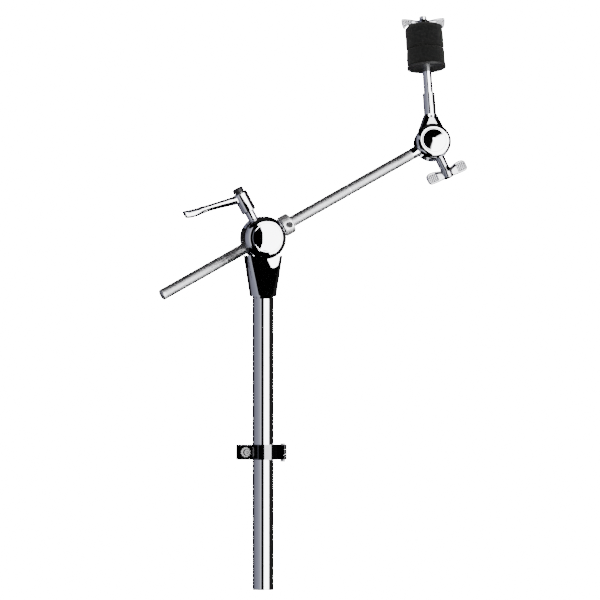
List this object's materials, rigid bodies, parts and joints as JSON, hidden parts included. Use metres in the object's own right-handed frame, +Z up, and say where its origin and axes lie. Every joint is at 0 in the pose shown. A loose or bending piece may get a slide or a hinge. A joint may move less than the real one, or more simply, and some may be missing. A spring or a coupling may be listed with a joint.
{
  "type": "cymbal boom stand",
  "caption": "Boom-arm top of a cymbal stand: tube, tilter with clamp lever, sliding knurled rod, cymbal post with felts and wing nut.",
  "frame": {"origin": "centre of the lower tube's bottom end", "axes": "+Z up the tube, +X towards the high end of the boom rod, -Y the side with the key screws"},
  "size_m": [0.335, 0.0669, 0.6072],
  "materials": {
    "chrome": "bright chrome plate",
    "satin_chrome": "chrome plate over cast zinc",
    "knurled_chrome": "chrome plate over diamond knurl",
    "dark_chrome": "dark plated steel",
    "steel": "turned steel",
    "bright_steel": "bright zinc plate",
    "spring_steel": "drawn spring wire",
    "black_steel": "black oxide",
    "brass": "turned brass",
    "clutch_fibre": "pressed fibre",
    "nylon": "natural nylon",
    "black_nylon": "moulded black nylon",
    "felt": "pressed black wool felt"
  },
  "bodies": {
    "root": {"lower_tube": "chrome", "tube_pin": "bright_steel", "tilter_casting": "chrome", "front_cap": "chrome", "rear_cap": "chrome", "front_clutch_disc": "clutch_fibre", "rear_clutch_disc": "clutch_fibre"},
    "pivot": {"pivot_drum": "steel", "pressure_shoe": "brass"},
    "stud": {"clamp_stud": "chrome", "lever_cap_screw": "black_steel", "lever_spring": "spring_steel"},
    "lever": {"lever_handle": "satin_chrome"},
    "bush": {"rod_bush": "nylon"},
    "boom": {"boom_rod": "knurled_chrome", "stop_collar": "chrome", "collar_screw": "bright_steel", "upper_drum": "steel", "drum_pin": "bright_steel", "clamp_plug": "brass"},
    "post": {"upper_casting": "chrome", "upper_front_cap": "chrome", "upper_rear_cap": "chrome", "upper_front_disc": "clutch_fibre", "upper_rear_disc": "clutch_fibre", "post_grub_screw": "black_steel", "cymbal_post": "chrome", "seat_cup": "black_nylon", "lower_felt": "felt"},
    "wing_screw": {"wing_screw": "satin_chrome"},
    "top_felt": {"upper_felt": "felt"},
    "wing_nut": {"wing_nut": "satin_chrome"},
    "lock_back": {"lock_rear": "dark_chrome", "lock_hinge_pin": "dark_chrome"},
    "lock_gate": {"lock_front": "dark_chrome"},
    "lock_key": {"lock_bolt": "dark_chrome"}
  },
  "joints": [
    {"name": "boom_tilt", "type": "hinge", "parent": "root", "child": "pivot", "pos_m": [0, 0, 0.3703], "axis": [0, -1, 0], "range_deg": [-43, 21]},
    {"name": "lever_turn", "type": "hinge", "parent": "pivot", "child": "stud", "pos_m": [0, 0, 0.3703], "axis": [-0.4787, 0, 0.878], "range_deg": [0, 180]},
    {"name": "lever_lift", "type": "slide", "parent": "stud", "child": "lever", "axis": [-0.4787, 0, 0.878], "range_m": [0, 0.004], "stiffness_N_per_m": 600, "springref_m": -0.002, "deforming": ["lever_spring"]},
    {"name": "boom_twist", "type": "hinge", "parent": "pivot", "child": "bush", "pos_m": [0, 0, 0.3703], "axis": [0.878, 0, 0.4787], "continuous": true},
    {"name": "boom_slide", "type": "slide", "parent": "bush", "child": "boom", "axis": [0.878, 0, 0.4787], "range_m": [0, 0.095]},
    {"name": "post_tilt", "type": "hinge", "parent": "boom", "child": "post", "pos_m": [0.18613, 0, 0.47178], "axis": [0.1239, 0.9659, -0.2272], "range_deg": [-45, 60]},
    {"name": "wing_screw_turn", "type": "hinge", "parent": "boom", "child": "wing_screw", "pos_m": [0.18613, 0, 0.47178], "axis": [0.3681, -0.2574, -0.8935], "range_deg": [0, 180]},
    {"name": "wing_nut_turn", "type": "hinge", "parent": "top_felt", "child": "wing_nut", "pos_m": [0.18613, 0, 0.47178], "axis": [-0.0065, 0.2298, 0.9732], "range_deg": [0, 2881]},
    {"name": "top_felt_lift", "type": "slide", "parent": "post", "child": "top_felt", "axis": [-0.0065, 0.2298, 0.9732], "range_m": [0, 0.01]},
    {"name": "lock_slide", "type": "slide", "parent": "root", "child": "lock_back", "axis": [0, 0, 1], "range_m": [-0.134, 0.15]},
    {"name": "lock_open", "type": "hinge", "parent": "lock_back", "child": "lock_gate", "pos_m": [0.0215, 0, 0.145], "axis": [0, 0, 1], "range_deg": [0, 6]},
    {"name": "lock_key_travel", "type": "slide", "parent": "lock_back", "child": "lock_key", "axis": [0, -1, 0], "range_m": [0, 0.0055]}
  ],
  "couplings": [
    {"joint": "wing_nut_turn", "follows": "top_felt_lift", "rad_per_m": 5026.5},
    {"joint": "lock_key_travel", "follows": "lock_open", "m_per_rad": 0.049}
  ]
}
